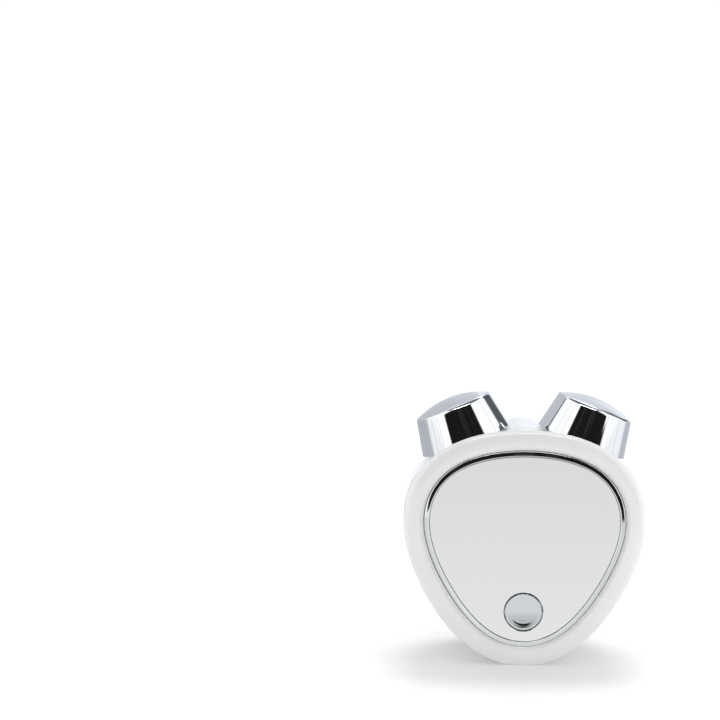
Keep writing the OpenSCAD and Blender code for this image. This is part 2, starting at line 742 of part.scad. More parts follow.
axle_r = axle_d / 2;
bush_r = axle_r + run_gap + bush_wall;
bush_flange_r = bush_r + 1;
clip_top = -bush_len - end_gap;
axle_end = clip_top - clip_t - 0.55;
clip_groove = 0.5;

module axle(side) {
    neck_r = axle_r - clip_groove;
    color("lightgray") on_axle(side) rotate_extrude($fn = 64) polygon([[0, axle_end],
        [axle_r - 0.3, axle_end], [axle_r, axle_end + 0.3], [axle_r, clip_top - clip_t],
        [neck_r, clip_top - clip_t], [neck_r, clip_top], [axle_r, clip_top],
        [axle_r, axle_grip], [0, axle_grip]]);
}

module clip(side) {
    clip_r = clip_d / 2;
    neck_r = axle_r - clip_groove;
    color("dimgray") on_axle(side) translate([0, 0, clip_top - clip_t]) difference() {
        cylinder(h = clip_t, r = clip_r, $fn = 64);
        translate([0, 0, -1]) cylinder(h = clip_t + 2, r = neck_r + touch_gap, $fn = 64);
        translate([0, -neck_r * 0.8, -1]) cube([clip_r + 1, neck_r * 1.6, clip_t + 2]);
        for (s = [-1, 1]) rotate(s * 125)
            translate([clip_r - 0.4, 0, -1]) cylinder(h = clip_t + 2, r = 0.8, $fn = 32);
    }
}

module bush(side) {
    bore_r = axle_r + run_gap;
    top = -end_gap;
    color("goldenrod") on_axle(side) difference() {
        union() {
            translate([0, 0, -bush_len]) cylinder(h = bush_len + top, r = bush_r, $fn = 64);
            translate([0, 0, top - bush_flange_t])
                cylinder(h = bush_flange_t, r = bush_flange_r, $fn = 64);
        }
        translate([0, 0, -bush_len - 1]) cylinder(h = bush_len + 2, r = bore_r, $fn = 64);
    }
}

seat_d = roller_gap + seat_wall;        // depth of the casing's inner face at a seat
ear_rest = 0.2;                         // between the casing's inner face and the ears
ear_top = -seat_d - ear_rest;
ear_screw_in = seat_wall - 0.8;
ear_r = 2.3;
module housing(side) {
    nose_top = -end_gap - bush_flange_t;
    color("white") on_axle(side) difference() {
        union() {
            translate([0, 0, ear_top])
                cylinder(h = nose_top - ear_top, r = bush_flange_r, $fn = 64);
            translate([0, 0, -bush_len])
                cylinder(h = bush_len + ear_top, r = housing_d / 2, $fn = 64);
            for (x = ear_screw_x) translate([x, 0, ear_top - ear_t])
                cylinder(h = ear_t, r = ear_r, $fn = 48);
            translate([-ear_reach, -ear_r, ear_top - ear_t])
                cube([2 * ear_reach, 2 * ear_r, ear_t]);
        }
        translate([0, 0, -bush_len - 1])
            cylinder(h = bush_len + 2, r = bush_r + thread_gap, $fn = 64);
        for (x = ear_screw_x) translate([x, 0, ear_top - ear_t - 1])
            cylinder(h = ear_t + 2, r = small_screw_d / 2 + fit_gap, $fn = 32);
    }
}

// The inner screw of each pair also clamps the contact spring, so its head sits lower
module housing_screws(side) {
    ear_bottom = ear_top - ear_t;
    color("lightgray") on_axle(side) for (x = ear_screw_x) {
        drop = x * side < 0 ? contact_t : 0;
        translate([x, 0, ear_bottom - drop])
            small_screw(drop + ear_t + ear_rest + ear_screw_in - 0.3);
    }
}

// Contact spring: clamped under a screw, down past the housing, across the axle's end
tail_reach = ear_reach + 3.2;
module contact_spring(side) {
    ear_bottom = ear_top - ear_t;
    blade = axle_end - touch_gap;
    stem_x = housing_d / 2 + 0.15;
    color("gold") on_axle(side) mirror([side < 0 ? 1 : 0, 0, 0]) difference() {
        union() {
            translate([-tail_reach, -contact_w / 2, ear_bottom - contact_t])
                cube([tail_reach - stem_x, contact_w, contact_t]);
            translate([-stem_x - contact_t, -contact_w / 2, blade - contact_t])
                cube([contact_t, contact_w, ear_bottom - blade + contact_t]);
            translate([-stem_x - contact_t, -contact_w / 2, blade - contact_t])
                cube([stem_x + contact_t + 1, contact_w, contact_t]);
        }
        translate([-ear_reach, 0, ear_bottom - 1])
            cylinder(h = 2, r = small_screw_d / 2 + fit_gap, $fn = 32);
    }
}

// Lead from the contact spring's tail to its pad at the board's top edge, as distance
// across from the middle, depth and height
roller_z = mid_z + roller_rise;
lead_x = roller_offset - 11.75;
lead_set_back = roller_set_back - 0.4;
pad_x = 6;
pad_z = board_top - 1.7;
lead_route = [[lead_x + 0.3, lead_set_back + 0.1, roller_z - 1.48],
    [lead_x, lead_set_back, roller_z - 2.28], [lead_x + 0.1, lead_set_back, roller_z - 3.98],
    [pad_x - 3.8, lead_set_back, roller_z - 5.98], [pad_x - 2.6, board_back + 2.8, pad_z + 4.3],
    [pad_x - 1.4, board_back + 2.4, pad_z + 2], [pad_x - 0.3, board_back + 1.7, pad_z + 0.6],
    [pad_x, board_back + 0.8, pad_z + 0.1], [pad_x, board_back + 0.05, pad_z]];
module lead(side) {
    color("white") tube([for (q = lead_route) [side * q[0], face_y + q[1], q[2]]]);
}

module left_roller() { roller(-1); }
module left_axle() { axle(-1); }
module left_clip() { clip(-1); }
module left_bush() { bush(-1); }
module left_housing() { housing(-1); }
module left_housing_screws() { housing_screws(-1); }
module left_contact_spring() { contact_spring(-1); }
module left_lead() { lead(-1); }
module right_roller() { roller(1); }
module right_axle() { axle(1); }
module right_clip() { clip(1); }
module right_bush() { bush(1); }
module right_housing() { housing(1); }
module right_housing_screws() { housing_screws(1); }
module right_contact_spring() { contact_spring(1); }
module right_lead() { lead(1); }

front_shell();
rear_shell();
bezel_ring();
face_plate();
adhesive_film();
power_button();
switch_plunger();
switch_body();
circuit_board();
board_screws();
case_screws();
charging_inlet();
inlet_tongue();
controller_chip();
charger_chip();
boost_inductor();
capacitors();
cell_connector();
battery_cell();
cell_pad();
cell_lead_positive();
cell_lead_negative();
left_roller();
left_axle();
left_clip();
left_bush();
left_housing();
left_housing_screws();
left_contact_spring();
left_lead();
right_roller();
right_axle();
right_clip();
right_bush();
right_housing();
right_housing_screws();
right_contact_spring();
right_lead();
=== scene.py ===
"""Facial toning device: gloss casing, chrome ring, mirror plate, button and two rollers."""

import json
import math

import bmesh
import bpy
from bpy.props import FloatProperty, FloatVectorProperty, IntProperty, PointerProperty
from mathutils import Matrix, Vector


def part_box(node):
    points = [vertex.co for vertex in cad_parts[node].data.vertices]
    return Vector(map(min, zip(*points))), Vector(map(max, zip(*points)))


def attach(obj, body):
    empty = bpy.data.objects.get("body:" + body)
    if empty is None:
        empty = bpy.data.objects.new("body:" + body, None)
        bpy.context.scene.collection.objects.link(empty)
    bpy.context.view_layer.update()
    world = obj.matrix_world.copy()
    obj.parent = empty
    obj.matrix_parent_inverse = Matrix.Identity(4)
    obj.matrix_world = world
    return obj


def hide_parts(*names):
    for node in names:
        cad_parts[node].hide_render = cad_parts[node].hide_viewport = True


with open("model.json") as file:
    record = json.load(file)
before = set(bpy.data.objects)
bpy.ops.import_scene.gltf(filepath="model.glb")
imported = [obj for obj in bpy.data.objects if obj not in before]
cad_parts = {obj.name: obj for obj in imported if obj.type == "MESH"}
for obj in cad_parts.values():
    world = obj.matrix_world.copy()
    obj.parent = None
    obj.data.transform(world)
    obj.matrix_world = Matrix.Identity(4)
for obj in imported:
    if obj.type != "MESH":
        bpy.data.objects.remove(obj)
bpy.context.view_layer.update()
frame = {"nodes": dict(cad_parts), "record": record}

bl_info = {
    "name": "Facial toning device",
    "version": (1, 0, 0),
    "blender": (4, 5, 0),
    "location": "3D View > Sidebar > Toning",
    "description": "Looks of a handheld facial toning device round its packed model",
    "category": "Add Mesh",
}

MM = 0.001


def linear(code):
    """An sRGB hex colour as linear red, green and blue."""
    parts = [int(code[i:i + 2], 16) / 255 for i in (1, 3, 5)]
    return [c / 12.92 if c <= 0.04045 else ((c + 0.055) / 1.055) ** 2.4 for c in parts]


def size(label, default, about):
    """A length property that is written in millimetres and kept in metres."""
    return FloatProperty(name=label, description=about, default=default * MM,
                         unit="LENGTH", precision=2)


def colour(label, code, about):
    """A colour property that is written as an sRGB hex value."""
    return FloatVectorProperty(name=label, description=about, default=linear(code),
                               subtype="COLOR", min=0, max=1)


# ---------------------------------------------------------------- sizes and colours

class CasingSizes(bpy.types.PropertyGroup):
    outline_d: size("Outline", 53.5, "Mean diameter of the casing's outline")
    lobe: size("Lobe", 1.68, "How far the outline leaves a circle towards its point")
    stretch: size("Stretch", 0.12, "How far the outline is stretched upright")
    swell: size("Swell", 0.1, "How far the corners of the outline swell")
    foot_cut: size("Foot cut", 0.5, "Height cut off the rounded bottom")
    body_d: size("Depth", 33, "Depth of the casing from the plate to the back")
    rim_w: size("Rim", 4.6, "Width of the white rim outside the chrome ring")
    face_rise: size("Face rise", 0.3, "How far the face sits above the casing's middle")
    plastic: colour("Plastic", "#EFEFEE", "Colour of the gloss casing")


class FaceSizes(bpy.types.PropertyGroup):
    ring_w: size("Ring width", 1.32, "Width of the chrome ring")
    ring_slope: size("Ring slope", 0.35, "How far the ring slopes back to its outer edge")
    ring_d: size("Ring depth", 1.85, "How deep the ring's foot goes")
    trim_gap: size("Trim gap", 0.2, "Visible gap between the casing and the ring")
    plate_gap: size("Plate gap", 0.06, "Gap between the plate and the ring")
    plate_t: size("Plate", 1, "Thickness of the mirror plate")
    plate_bevel: size("Plate edge", 0.13, "Width of the plate's ground edge")
    hole_gap: size("Button gap", 0.22, "Gap round the button")
    silver: colour("Silver", "#DEDEDE", "Colour of the mirror plate")
    trim: colour("Trim", "#DFE2E3", "Colour of the chromed ring")


class ButtonSizes(bpy.types.PropertyGroup):
    cap_d: size("Cap", 8.3, "Diameter of the button cap")
    lip: size("Lip", 0.45, "Width of the flat lip round the dish")
    dish: size("Dish", 0.47, "Depth of the dish")
    drop: size("Drop", 15.6, "Distance of the button below the casing's middle")
    chrome: colour("Chrome", "#C9CDD0", "Colour of the chromed cap")


class RollerSizes(bpy.types.PropertyGroup):
    base_d: size("Base", 21.1, "Diameter of a roller at its base")
    end_d: size("End", 17.7, "Diameter of a roller at its outer edge")
    cone: size("Cone", 8.5, "Height of a roller's cone")
    dome: size("Dome", 2, "Rise of the domed end")
    edge_r: size("Edge", 1, "Radius of the edge round the dome")
    wall: size("Wall", 1.2, "Wall of a roller")
    hub_d: size("Hub", 8, "Diameter of the hub inside a roller")
    bore_d: size("Bore", 4, "Diameter of the hole for the axle")
    grip: size("Grip", 6.5, "How far the axle reaches into the roller")
    offset: size("Offset", 12.95, "Half the distance between the rollers")
    rise: size("Rise", 20.83, "Height of the roller bases above the casing's middle")
    set_back: size("Set back", 13.6, "Depth of the roller bases behind the plate")
    splay: FloatProperty(name="Splay", description="Outward tilt of each roller",
                         default=math.radians(21.6), subtype="ANGLE")
    lean: FloatProperty(name="Lean", description="Backward tilt of each roller",
                        default=math.radians(3.5), subtype="ANGLE")
    steps: IntProperty(name="Steps", description="Steps round a turned piece",
                       default=160, min=24)
    chrome: colour("Chrome", "#E3E5E8", "Colour of the chromed pieces")


class StageSizes(bpy.types.PropertyGroup):
    distance: size("Distance", 600, "Camera's distance from the face")
    lens: FloatProperty(name="Lens", description="Focal length in millimetres", default=135)
    floor: size("Floor", 24000, "Side of the pale floor")
    surround: size("Surround", 1600, "Radius of the soft surround")
    world: FloatProperty(name="World", description="Level of the plain soft light",
                         default=0.475)
    tint: colour("Floor tint", "#ECECEC", "Colour of the plain pale floor")


GROUPS = {"casing": CasingSizes, "face": FaceSizes, "button": ButtonSizes,
          "roller": RollerSizes, "stage": StageSizes}


def sizes(name):
    """The sizes and colours of one group, as the scene holds them."""
    return getattr(bpy.context.scene, "toning_" + name)


def linked(name, data):
    """A new object of the scene, from a mesh or from the data of a lamp or a camera."""
    made = bpy.data.objects.new(name, data)
    bpy.context.scene.collection.objects.link(made)
    return made


# ---------------------------------------------------------------- materials

def add(tree, kind, sockets=None, **settings):
    """Adds a node with its settings, and links each socket value that is itself a socket."""
    node = tree.nodes.new(kind)
    for name, value in settings.items():
        setattr(node, name, value)
    for key, value in (sockets or {}).items():
        if isinstance(value, bpy.types.NodeSocket):
            tree.links.new(value, node.inputs[key])
        else:
            node.inputs[key].default_value = value
    return node


def bare_tree(owner):
    """The emptied node tree of a material or a world."""
    owner.use_nodes = True
    owner.node_tree.nodes.clear()
    return owner.node_tree


def shaded(name, **sockets):
    """A material with one Principled shader, and its tree, shader and object coordinates."""
    made = bpy.data.materials.new(name)
    tree = bare_tree(made)
    shader = add(tree, "ShaderNodeBsdfPrincipled",
                 {key.replace("_", " "): value for key, value in sockets.items()})
    add(tree, "ShaderNodeOutputMaterial", {"Surface": shader.outputs[0]})
    place = add(tree, "ShaderNodeTexCoord").outputs["Object"]
    return made, tree, shader, place


def mottle(tree, shader, place, patch, low, high, detail=2.0):
    """Lets the roughness drift between two values over patches of a size in millimetres."""
    # Nearly all of a noise texture's values lie between 0.3 and 0.7
    drift = add(tree, "ShaderNodeTexNoise",
                {"Vector": place, "Scale": 1 / (patch * MM), "Detail": detail})
    level = add(tree, "ShaderNodeMapRange",
                {"Value": drift.outputs["Fac"], "From Min": 0.3, "From Max": 0.7,
                 "To Min": low, "To Max": high})
    tree.links.new(level.outputs["Result"], shader.inputs["Roughness"])
    return drift


def relief(tree, shader, height, depth):
    """Raises the surface by a height socket, over a depth in millimetres."""
    bump = add(tree, "ShaderNodeBump",
               {"Height": height, "Distance": depth * MM, "Strength": 1.0})
    tree.links.new(bump.outputs["Normal"], shader.inputs["Normal"])


def blended(tree, shader, factor, first, second):
    """Lets the base colour drift between two linear colours."""
    mixed = add(tree, "ShaderNodeMix",
                {"Factor": factor, "A": (*first, 1), "B": (*second, 1)}, data_type="RGBA")
    tree.links.new(mixed.outputs["Result"], shader.inputs["Base Color"])


def gloss_abs(tone):
    # Gloss ABS, injection moulded in a polished tool: an even white with a soft broad
    # highlight, very faint orange peel about 1.2 mm across, and a trace of tone drift.
    made, tree, shader, place = shaded("Gloss moulded ABS", IOR=1.53, Coat_Weight=0.4,
                                       Coat_Roughness=0.06)
    peel = add(tree, "ShaderNodeTexNoise",
               {"Vector": place, "Scale": 1 / (1.2 * MM), "Detail": 1.0})
    relief(tree, shader, peel.outputs["Fac"], depth=0.0008)
    drift = mottle(tree, shader, place, patch=9, low=0.17, high=0.25)
    darker = [c * 0.975 for c in tone]
    blended(tree, shader, drift.outputs["Fac"], darker, tone)
    return made


def plated_chrome(name, tone, patch):
    # Chrome plating on moulded plastic: a cold mirror with faint handling haze in
    # patches of some millimetres, and a slight ripple left by the moulding under it.
    made, tree, shader, place = shaded(name, Base_Color=(*tone, 1), Metallic=1.0)
    drift = mottle(tree, shader, place, patch, low=0.03, high=0.075, detail=3.0)
    relief(tree, shader, drift.outputs["Fac"], depth=0.0012)
    return made


def spun_chrome(tone):
    # Chrome on a spun cap: rings left by the tool round its axis, about a tenth of a
    # millimetre apart in life and drawn nine tenths apart so that they show.
    made, tree, shader, place = shaded("Chrome on a spun cap", Base_Color=(*tone, 1),
                                       Metallic=1.0)
    mottle(tree, shader, place, patch=3, low=0.02, high=0.045, detail=3.0)
    ring_pitch = 0.9 * MM
    lo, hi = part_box("power_button")
    moved = add(tree, "ShaderNodeMapping",
                {"Vector": place, "Location": (0, 0, -(lo.z + hi.z) / 2)})
    rings = add(tree, "ShaderNodeTexWave",
                {"Vector": moved.outputs["Vector"], "Scale": math.pi / (10 * ring_pitch),
                 "Distortion": 0.6, "Detail": 1.0},
                wave_type="RINGS", rings_direction="Y")
    relief(tree, shader, rings.outputs["Fac"], depth=0.009)
    return made


def silvered_plate(tone):
    # Silvered mirror plate: flat and clear, slightly grey, with haze that only shows as
    # a soft change of gloss over patches of about 12 mm.
    made, tree, shader, place = shaded("Silvered mirror plate", Base_Color=(*tone, 1),
                                       Metallic=1.0)
    mottle(tree, shader, place, patch=12, low=0.02, high=0.05)
    return made


def satin_metal(name, code, mark, low, high):
    # Turned, rolled or laminated metal: marks of the given width in millimetres, about a
    # tenth on turned steel and brass, which give a satin sheen, and gloss and tone that
    # drift over patches of 1.5 mm.
    tone = linear(code)
    made, tree, shader, place = shaded(name, Metallic=1.0)
    marks = add(tree, "ShaderNodeTexNoise",
                {"Vector": place, "Scale": 1 / (mark * MM), "Detail": 2.0})
    relief(tree, shader, marks.outputs["Fac"], depth=0.004)
    drift = mottle(tree, shader, place, 1.5, low, high)
    blended(tree, shader, drift.outputs["Fac"], [c * 0.85 for c in tone], tone)
    return made


def fine_grained(name, code, grain, depth, low, high, ior=1.5):
    # Moulded plastic, silicone, foam or film: a fine surface grain of the given size in
    # millimetres, and gloss and tone that drift over patches ten grains wide.
    tone = linear(code)
    made, tree, shader, place = shaded(name, IOR=ior)
    skin = add(tree, "ShaderNodeTexNoise",
               {"Vector": place, "Scale": 1 / (grain * MM), "Detail": 3.0})
    relief(tree, shader, skin.outputs["Fac"], depth)
    drift = mottle(tree, shader, place, grain * 10, low, high)
    blended(tree, shader, drift.outputs["Fac"], [c * 0.88 for c in tone], tone)
    return made


def lacquered_board():
    # Fibreglass board under green solder lacquer: the weave, about 0.5 mm wide in life and
    # drawn 0.9 mm wide, shows as a faint relief and as lighter threads in the green.
    made, tree, shader, place = shaded("Lacquered fibreglass board", IOR=1.5)
    warp, weft = [add(tree, "ShaderNodeTexWave",
                      {"Vector": place, "Scale": 1 / (3.0 * MM), "Distortion": 0.4},
                      bands_direction=way) for way in "XZ"]
    both = add(tree, "ShaderNodeMath", {0: warp.outputs["Fac"], 1: weft.outputs["Fac"]},
               operation="MULTIPLY")
    relief(tree, shader, both.outputs["Value"], depth=0.01)
    mottle(tree, shader, place, patch=4, low=0.22, high=0.34)
    blended(tree, shader, both.outputs["Value"], linear("#0E4A2B"), linear("#1B6A3E"))
    return made


# Satin metals: name, colour, width of the marks in millimetres, lowest and highest roughness
SATIN_METALS = {
    "steel": ("Turned steel", "#9E9EA0", 0.08, 0.22, 0.38),
    "spring_steel": ("Blackened spring steel", "#4D4D52", 0.2, 0.22, 0.38),
    "bush_brass": ("Turned brass", "#C29A52", 0.08, 0.22, 0.38),
    "tin": ("Tinned sheet metal", "#C0C2C4", 0.4, 0.18, 0.32),
    "cell_foil": ("Laminated foil pouch", "#B8BABF", 1.2, 0.2, 0.4),
}
# Plastics and rubbers: name, colour, size and depth of the grain in millimetres, lowest and
# highest roughness, and the IOR where it isn't the usual one
FINE_GRAINED = {
    "film": ("Adhesive film", "#D9D3C6", 0.3, 0.01, 0.5, 0.7),
    "inner_plastic": ("Moulded polyamide", "#E0E0DC", 0.15, 0.008, 0.42, 0.58),
    "dark_plastic": ("Moulded black epoxy", "#15151A", 0.1, 0.006, 0.4, 0.6),
    "foam": ("Adhesive foam", "#262629", 0.35, 0.06, 0.8, 0.95),
    "lead_red": ("Red silicone lead", "#B3100D", 0.2, 0.004, 0.35, 0.5, 1.42),
    "lead_black": ("Black silicone lead", "#0A0A0A", 0.2, 0.004, 0.35, 0.5, 1.42),
    "lead_white": ("White silicone lead", "#E1E1DE", 0.2, 0.004, 0.35, 0.5, 1.42),
}


def new_finish(slot):
    """A new material for one of the record's finishes."""
    if slot in SATIN_METALS:
        return satin_metal(*SATIN_METALS[slot])
    if slot in FINE_GRAINED:
        return fine_grained(*FINE_GRAINED[slot])
    makers = {
        "white_shell": lambda: gloss_abs(sizes("casing").plastic),
        "ring_chrome": lambda: plated_chrome("Chrome plated trim", sizes("face").trim, 4),
        "plate_mirror": lambda: silvered_plate(sizes("face").silver),
        "button_chrome": lambda: spun_chrome(sizes("button").chrome),
        "roller_chrome": lambda: plated_chrome("Chrome plated roller",
                                               sizes("roller").chrome, 6),
        "board": lacquered_board,
    }
    return makers[slot]()


finishes_made = {}


def finish_of(slot):
    """The material that carries one of the record's finishes, made once."""
    if slot not in finishes_made:
        finishes_made[slot] = new_finish(slot)
    return finishes_made[slot]


# ---------------------------------------------------------------- shapes

def outline(turn):
    """Distance of the casing's outline from its middle, at an angle from the top."""
    s = sizes("casing")
    return (s.outline_d / 2 + s.stretch * math.cos(2 * turn) - s.lobe * math.cos(3 * turn)
            + s.swell * math.cos(6 * turn))


def middle():
    """Height of the casing's middle above the foot."""
    return outline(math.pi) - sizes("casing").foot_cut


def face_loop(inset, steps=240):
    """Points of the outline drawn in by an inset, as across and up from the middle."""
    s = sizes("casing")
    points = []
    for i in range(steps):
        turn = 2 * math.pi * i / steps
        shift = s.face_rise * min(1, inset / s.rim_w) * math.cos(turn)
        reach = outline(turn) - inset + shift
        points.append((reach * math.sin(turn), reach * math.cos(turn)))
    return points


def face_place():
    """Turns across, up and forward on the face into the part's frame."""
    front = (0, -sizes("casing").body_d / 2, middle())
    return Matrix.Translation(front) @ Matrix.Rotation(math.pi / 2, 4, "X")


def loop_object(name, points):
    """An object of bare edges round a flat loop, for a tree to sweep along or across."""
    mesh = bpy.data.meshes.new(name)
    count = len(points)
    mesh.from_pydata([(*point, 0) for point in points],
                     [(i, (i + 1) % count) for i in range(count)], [])
    return linked(name, mesh)


SWEEP = "Section swept round a path"


def sweep_tree():
    """Sweeps the edges of a section object round the edges of the object that it is on."""
    tree = bpy.data.node_groups.new(SWEEP, "GeometryNodeTree")
    face = tree.interface
    face.new_socket("Path", in_out="INPUT", socket_type="NodeSocketGeometry")
    face.new_socket("Section", in_out="INPUT", socket_type="NodeSocketObject")
    face.new_socket("Join distance", in_out="INPUT", socket_type="NodeSocketFloat")
    face.new_socket("Finish", in_out="INPUT", socket_type="NodeSocketMaterial")
    face.new_socket("Swept", in_out="OUTPUT", socket_type="NodeSocketGeometry")
    given = add(tree, "NodeGroupInput")
    path = add(tree, "GeometryNodeMeshToCurve", {"Mesh": given.outputs["Path"]})
    level = add(tree, "GeometryNodeSetCurveNormal", {"Curve": path.outputs["Curve"]},
                mode="Z_UP")
    info = add(tree, "GeometryNodeObjectInfo", {"Object": given.outputs["Section"]},
               transform_space="ORIGINAL")
    section = add(tree, "GeometryNodeMeshToCurve", {"Mesh": info.outputs["Geometry"]})
    swept = add(tree, "GeometryNodeCurveToMesh",
                {"Curve": level.outputs["Curve"], "Profile Curve": section.outputs["Curve"]})
    joined = add(tree, "GeometryNodeMergeByDistance",
                 {"Geometry": swept.outputs["Mesh"],
                  "Distance": given.outputs["Join distance"]})
    plain = add(tree, "GeometryNodeRealizeInstances", {"Geometry": joined.outputs["Geometry"]})
    finished = add(tree, "GeometryNodeSetMaterial",
                   {"Geometry": plain.outputs["Geometry"],
                    "Material": given.outputs["Finish"]})
    add(tree, "NodeGroupOutput", {"Swept": finished.outputs["Geometry"]})
    return tree


def swept(name, path, section, slot, place, sharp=35):
    """A plain mesh of a section swept round a flat loop, put in its place in the part's frame.

    The loop runs anticlockwise. The section's first number is the distance outwards from
    it, and its second is up."""
    host = loop_object(name + "_path", path)
    cut = loop_object(name + "_section", [(out, -up) for out, up in section])
    tree = bpy.data.node_groups.get(SWEEP) or sweep_tree()
    modifier = host.modifiers.new("Sweep", "NODES")
    modifier.node_group = tree
    keys = {item.name: item.identifier for item in tree.interface.items_tree
            if item.in_out == "INPUT"}
    modifier[keys["Section"]] = cut
    modifier[keys["Join distance"]] = 0.002 * MM
    modifier[keys["Finish"]] = finish_of(slot)
    depsgraph = bpy.context.evaluated_depsgraph_get()
    mesh = bpy.data.meshes.new_from_object(host.evaluated_get(depsgraph))
    host.modifiers.remove(modifier)
    for spare in (host, cut):
        bpy.data.objects.remove(spare)
    return placed(name, mesh, slot, place, sharp)


def shown(name, mesh, work, sharp):
    """A smoothly shaded object at the origin, from a mesh and the work done on it."""
    for side in work.faces:
        side.smooth = True
    work.to_mesh(mesh)
    work.free()
    mesh.name = name
    mesh.set_sharp_from_angle(angle=math.radians(sharp))
    return linked(name, mesh)


def placed(name, mesh, slot, place, sharp):
    """An object at the origin from a mesh that is moved into place and faces outwards."""
    mesh.transform(place)
    if not mesh.materials:
        mesh.materials.append(finish_of(slot))
    work = bmesh.new()
    work.from_mesh(mesh)
    bmesh.ops.remove_doubles(work, verts=work.verts, dist=0.001 * MM)
    bmesh.ops.recalc_face_normals(work, faces=work.faces)
    return shown(name, mesh, work, sharp)


def smooth_copy(name, node, slot, sharp):
    """A merged, smoothly shaded copy of a CAD node that stands for it."""
    mesh = frame["nodes"][node].data.copy()
    mesh.materials.clear()
    mesh.materials.append(finish_of(slot))
    work = bmesh.new()
    work.from_mesh(mesh)
    bmesh.ops.remove_doubles(work, verts=work.verts, dist=0.004 * MM)
    bmesh.ops.dissolve_degenerate(work, edges=work.edges, dist=0.001 * MM)
    return shown(name, mesh, work, sharp)


def settle(piece, body, node):
    """Lets a new piece ride on its body and stand for its node."""
    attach(piece, body)
    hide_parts(node)


def arc(centre, radius, start, end, steps):
    """Points on an arc round a centre, between two angles from the first axis."""
    turns = [start + (end - start) * i / steps for i in range(steps + 1)]
    return [(centre[0] + radius * math.cos(turn), centre[1] + radius * math.sin(turn))
            for turn in turns]


def roller_section():
    """Half section of a roller, as distance from its axis and height above its base."""
    s = sizes("roller")
    base, end = s.base_d / 2, s.end_d / 2
    ball = (end ** 2 + s.dome ** 2) / (2 * s.dome)
    ball_mid = s.cone + s.dome - ball
    along = Vector((end - base, s.cone)).normalized()
    inwards = Vector((-along.y, along.x))
    # The edge's centre lies its radius inside the cone's line and inside the dome's ball
    start = Vector((base, -ball_mid)) + s.edge_r * inwards
    run = -start.dot(along)
    run += math.sqrt(start.dot(along) ** 2 - start.length_squared + (ball - s.edge_r) ** 2)
    mid = Vector((base, 0)) + s.edge_r * inwards + run * along
    first = math.atan2(-inwards.y, -inwards.x)
    last = math.atan2(mid.y - ball_mid, mid.x)
    foot = 0.35 * MM        # reach of the rounding at the base, and two points on it
    outside = [(base - foot, 0), (base - 0.16 * MM, 0.03 * MM), (base - 0.05 * MM, 0.13 * MM),
               tuple(Vector((base, 0)) + foot * along)]
    outside += arc(mid, s.edge_r, first, last, steps=12)
    outside += arc((0, ball_mid), ball, last, math.pi / 2, steps=18)[1:-1]
    lid = 0.6 * MM          # from the end of the hollow to the end of the cone
    slant_w, slant_h = 0.6 * MM, 0.8 * MM
    cup_end = s.cone - lid
    bore, hub = s.bore_d / 2, s.hub_d / 2
    inside = [(0, s.cone + s.dome), (0, s.grip), (bore, s.grip), (bore, 0), (hub, 0),
              (hub, cup_end), (end - s.wall - slant_w, cup_end),
              (end - s.wall, cup_end - slant_h), (base - s.wall, 0)]
    return outside + inside


def turned(name, section, slot, place, sharp=35):
    """A section turned about the third axis: it is swept round a circle of 1 mm radius."""
    steps = sizes("roller").steps
    radius = MM
    path = arc((0, 0), radius, 0, 2 * math.pi, steps)[:-1]
    return swept(name, path, [(x - radius, y) for x, y in section], slot, place, sharp)


def roller_place(side):
    """Turns a roller's base and axis into the part's frame, at -1 on the left or 1."""
    s = sizes("roller")
    casing = sizes("casing")
    foot = Vector((side * s.offset, s.set_back - casing.body_d / 2, middle() + s.rise))
    return (Matrix.Translation(foot) @ Matrix.Rotation(side * s.splay, 4, "Y")
            @ Matrix.Rotation(-s.lean, 4, "X"))


def button_section():
    """Half section of the button, as distance from its axis and height over the plate."""
    s = sizes("button")
    radius = s.cap_d / 2
    dish_r = radius - s.lip
    ball = (dish_r ** 2 + s.dish ** 2) / (2 * s.dish)
    swing = math.asin(dish_r / ball)
    turns = [swing * i / 20 for i in range(21)]
    dish = [(ball * math.sin(turn), ball * (1 - math.cos(turn)) - s.dish) for turn in turns]
    lo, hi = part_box("power_button")
    foot = lo.y - hi.y
    front = sizes("casing").body_d / 2 + lo.y
    edge_r = 0.14 * MM
    edge = arc((radius - edge_r, -edge_r), edge_r, math.pi / 2, 0, steps=5)
    flange_r = (hi.x - lo.x) / 2
    flange_top = -2.75 * MM             # just behind the split between the casing's halves
    flange_foot = flange_top - 0.8 * MM
    stub_r = 1.6 * MM                   # the stub that meets the switch
    return dish + [(x, y - front) for x, y in edge] + [
        (radius, flange_top), (flange_r, flange_top), (flange_r, flange_foot),
        (stub_r, flange_foot), (stub_r, foot), (0, foot)]


def ring_section():
    """Section of the chrome ring, as distance inwards from the outline and depth."""
    c, f = sizes("casing"), sizes("face")
    outer, inner = c.rim_w + f.trim_gap, c.rim_w + f.ring_w
    # Points of the rounded inner and outer edge, in millimetres from the sharp corner
    inner_edge = [(0, 0.17), (0.01, 0.095), (0.035, 0.04), (0.075, 0.008), (0.13, 0.0),
                  (0.2, 0.01), (0.3, 0.035)]
    outer_edge = [(0.2, -0.08), (0.12, -0.05), (0.05, -0.01), (0.012, 0.06), (0, 0.15)]
    return ([(inner, f.ring_d)] + [(inner - x * MM, y * MM) for x, y in inner_edge]
            + [(outer + x * MM, f.ring_slope + y * MM) for x, y in outer_edge]
            + [(outer, f.ring_d)])


